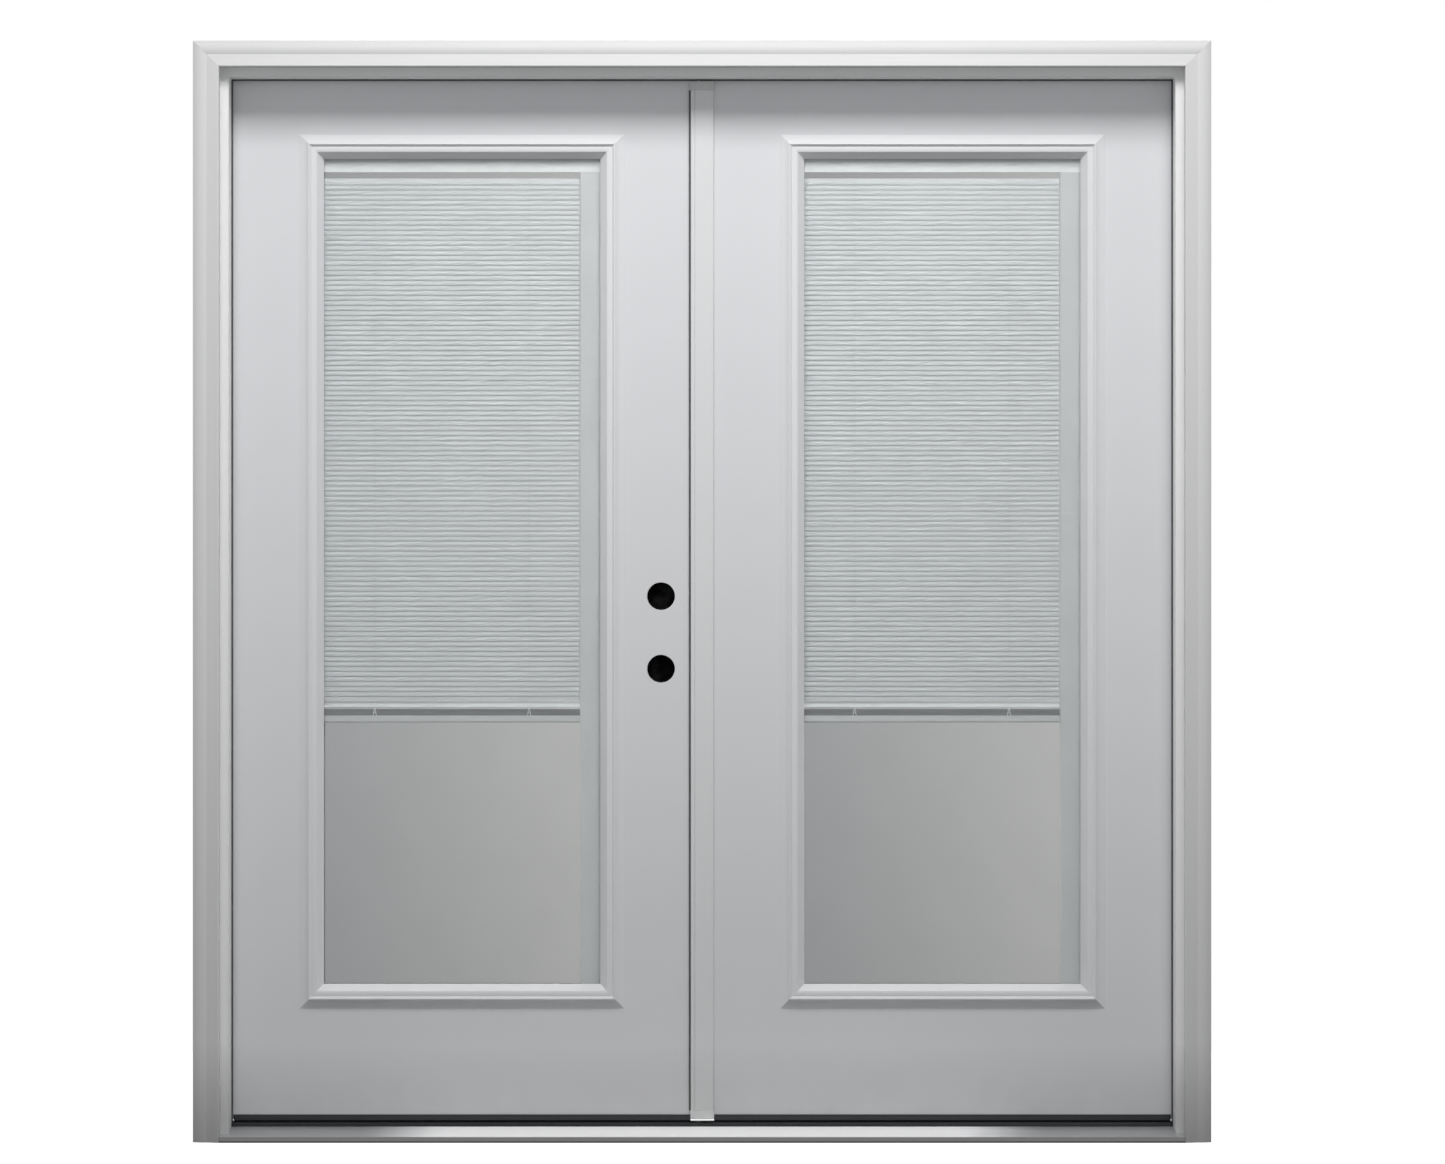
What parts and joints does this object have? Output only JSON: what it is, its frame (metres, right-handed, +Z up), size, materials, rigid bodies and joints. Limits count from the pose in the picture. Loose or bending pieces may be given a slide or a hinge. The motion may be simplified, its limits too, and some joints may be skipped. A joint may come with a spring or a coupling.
{
  "type": "double patio door",
  "caption": "Hinged double patio door in its frame, full-glass leaves with a raisable blind sealed between the panes, bored for a lock and opening indoors.",
  "frame": {"origin": "on the sill's underside, midway between the jambs, in the plane of the jambs' outdoor edge", "axes": "+X to the right seen from outdoors, +Y from outdoors to indoors, +Z up"},
  "size_m": [1.943, 0.1607, 2.1016],
  "materials": {
    "leaf_paint": "smooth moulded skin, white satin paint",
    "lite_frame": "moulded white, satin",
    "clear_glass": "clear tempered pane",
    "coated_glass": "coated tempered pane, greyer",
    "spacer_metal": "mill-finish tube",
    "blind_white": "baked white enamel",
    "blind_cord": "braided white cord",
    "operator_plastic": "moulded white",
    "sweep_vinyl": "black flexible vinyl",
    "hinge_steel": "satin nickel",
    "jamb_paint": "primed and painted white",
    "brickmould_paint": "primed and painted white",
    "seal_foam": "dark skinned foam",
    "boot_foam": "pale skinned foam",
    "sill_metal": "mill-finish, brushed along its length",
    "sill_board": "composite board",
    "cap_vinyl": "black vinyl",
    "astragal_paint": "white enamel",
    "bolt_steel": "plated"
  },
  "bodies": {
    "frame": {"active_hinge_pins": "hinge_steel", "active_lower_hinge_jamb_plate": "hinge_steel", "active_middle_hinge_jamb_plate": "hinge_steel", "active_upper_hinge_jamb_plate": "hinge_steel", "corner_pads": "seal_foam", "head_brickmould": "brickmould_paint", "head_jamb": "jamb_paint", "head_weatherstrip": "seal_foam", "left_brickmould": "brickmould_paint", "left_jamb": "jamb_paint", "left_weatherstrip": "seal_foam", "passive_hinge_pins": "hinge_steel", "passive_lower_hinge_jamb_plate": "hinge_steel", "passive_middle_hinge_jamb_plate": "hinge_steel", "passive_upper_hinge_jamb_plate": "hinge_steel", "right_brickmould": "brickmould_paint", "right_jamb": "jamb_paint", "right_weatherstrip": "seal_foam", "sill_cap": "cap_vinyl", "sill_deck": "sill_metal", "sill_substrate": "sill_board"},
    "active_leaf": {"active_slab": "leaf_paint", "active_lite_outer_frame": "lite_frame", "active_lite_inner_frame": "lite_frame", "active_outer_pane": "clear_glass", "active_inner_pane": "coated_glass", "active_pane_spacer": "spacer_metal", "active_blind_headrail": "blind_white", "active_blind_side_rail": "blind_white", "active_blind_slats": "blind_white", "active_blind_cords": "blind_cord", "active_sweep": "sweep_vinyl", "active_lower_hinge_leaf_plate": "hinge_steel", "active_middle_hinge_leaf_plate": "hinge_steel", "active_upper_hinge_leaf_plate": "hinge_steel"},
    "passive_leaf": {"passive_slab": "leaf_paint", "passive_lite_outer_frame": "lite_frame", "passive_lite_inner_frame": "lite_frame", "passive_outer_pane": "clear_glass", "passive_inner_pane": "coated_glass", "passive_pane_spacer": "spacer_metal", "passive_blind_headrail": "blind_white", "passive_blind_side_rail": "blind_white", "passive_blind_slats": "blind_white", "passive_blind_cords": "blind_cord", "passive_sweep": "sweep_vinyl", "passive_lower_hinge_leaf_plate": "hinge_steel", "passive_middle_hinge_leaf_plate": "hinge_steel", "passive_upper_hinge_leaf_plate": "hinge_steel", "astragal": "astragal_paint", "astragal_seal": "seal_foam", "astragal_boots": "boot_foam"},
    "top_bolt": {"top_bolt": "bolt_steel"},
    "bottom_bolt": {"bottom_bolt": "bolt_steel"},
    "active_blind_foot": {"active_blind_bottom_rail": "blind_white", "active_blind_stack": "blind_white"},
    "active_blind_operator": {"active_blind_slider": "operator_plastic"},
    "passive_blind_foot": {"passive_blind_bottom_rail": "blind_white", "passive_blind_stack": "blind_white"},
    "passive_blind_operator": {"passive_blind_slider": "operator_plastic"}
  },
  "joints": [
    {"name": "active_leaf_swing", "type": "hinge", "parent": "frame", "child": "active_leaf", "pos_m": [-0.91535, 0.124, 0], "axis": [0, 0, 1], "range_deg": [0, 165]},
    {"name": "passive_leaf_swing", "type": "hinge", "parent": "frame", "child": "passive_leaf", "pos_m": [0.91535, 0.124, 0], "axis": [0, 0, -1], "range_deg": [0, 148.5]},
    {"name": "top_bolt_slide", "type": "slide", "parent": "passive_leaf", "child": "top_bolt", "axis": [0, 0, 1], "range_m": [0, 0.015]},
    {"name": "bottom_bolt_slide", "type": "slide", "parent": "passive_leaf", "child": "bottom_bolt", "axis": [0, 0, -1], "range_m": [0, 0.015]},
    {"name": "active_blind_lift", "type": "slide", "parent": "active_leaf", "child": "active_blind_foot", "axis": [0, 0, 1], "range_m": [-0.5, 1], "deforming": ["active_blind_slats", "active_blind_cords"]},
    {"name": "active_blind_control", "type": "slide", "parent": "active_leaf", "child": "active_blind_operator", "axis": [0, 0, 1], "range_m": [-0.5, 0.25]},
    {"name": "passive_blind_lift", "type": "slide", "parent": "passive_leaf", "child": "passive_blind_foot", "axis": [0, 0, 1], "range_m": [-0.5, 1], "deforming": ["passive_blind_slats", "passive_blind_cords"]},
    {"name": "passive_blind_control", "type": "slide", "parent": "passive_leaf", "child": "passive_blind_operator", "axis": [0, 0, 1], "range_m": [-0.5, 0.25]}
  ],
  "couplings": [
    {"joint": "passive_leaf_swing", "follows": "active_leaf_swing", "ratio": 0.9},
    {"joint": "active_blind_control", "follows": "active_blind_lift", "ratio": -0.5},
    {"joint": "passive_blind_control", "follows": "passive_blind_lift", "ratio": -0.5}
  ]
}
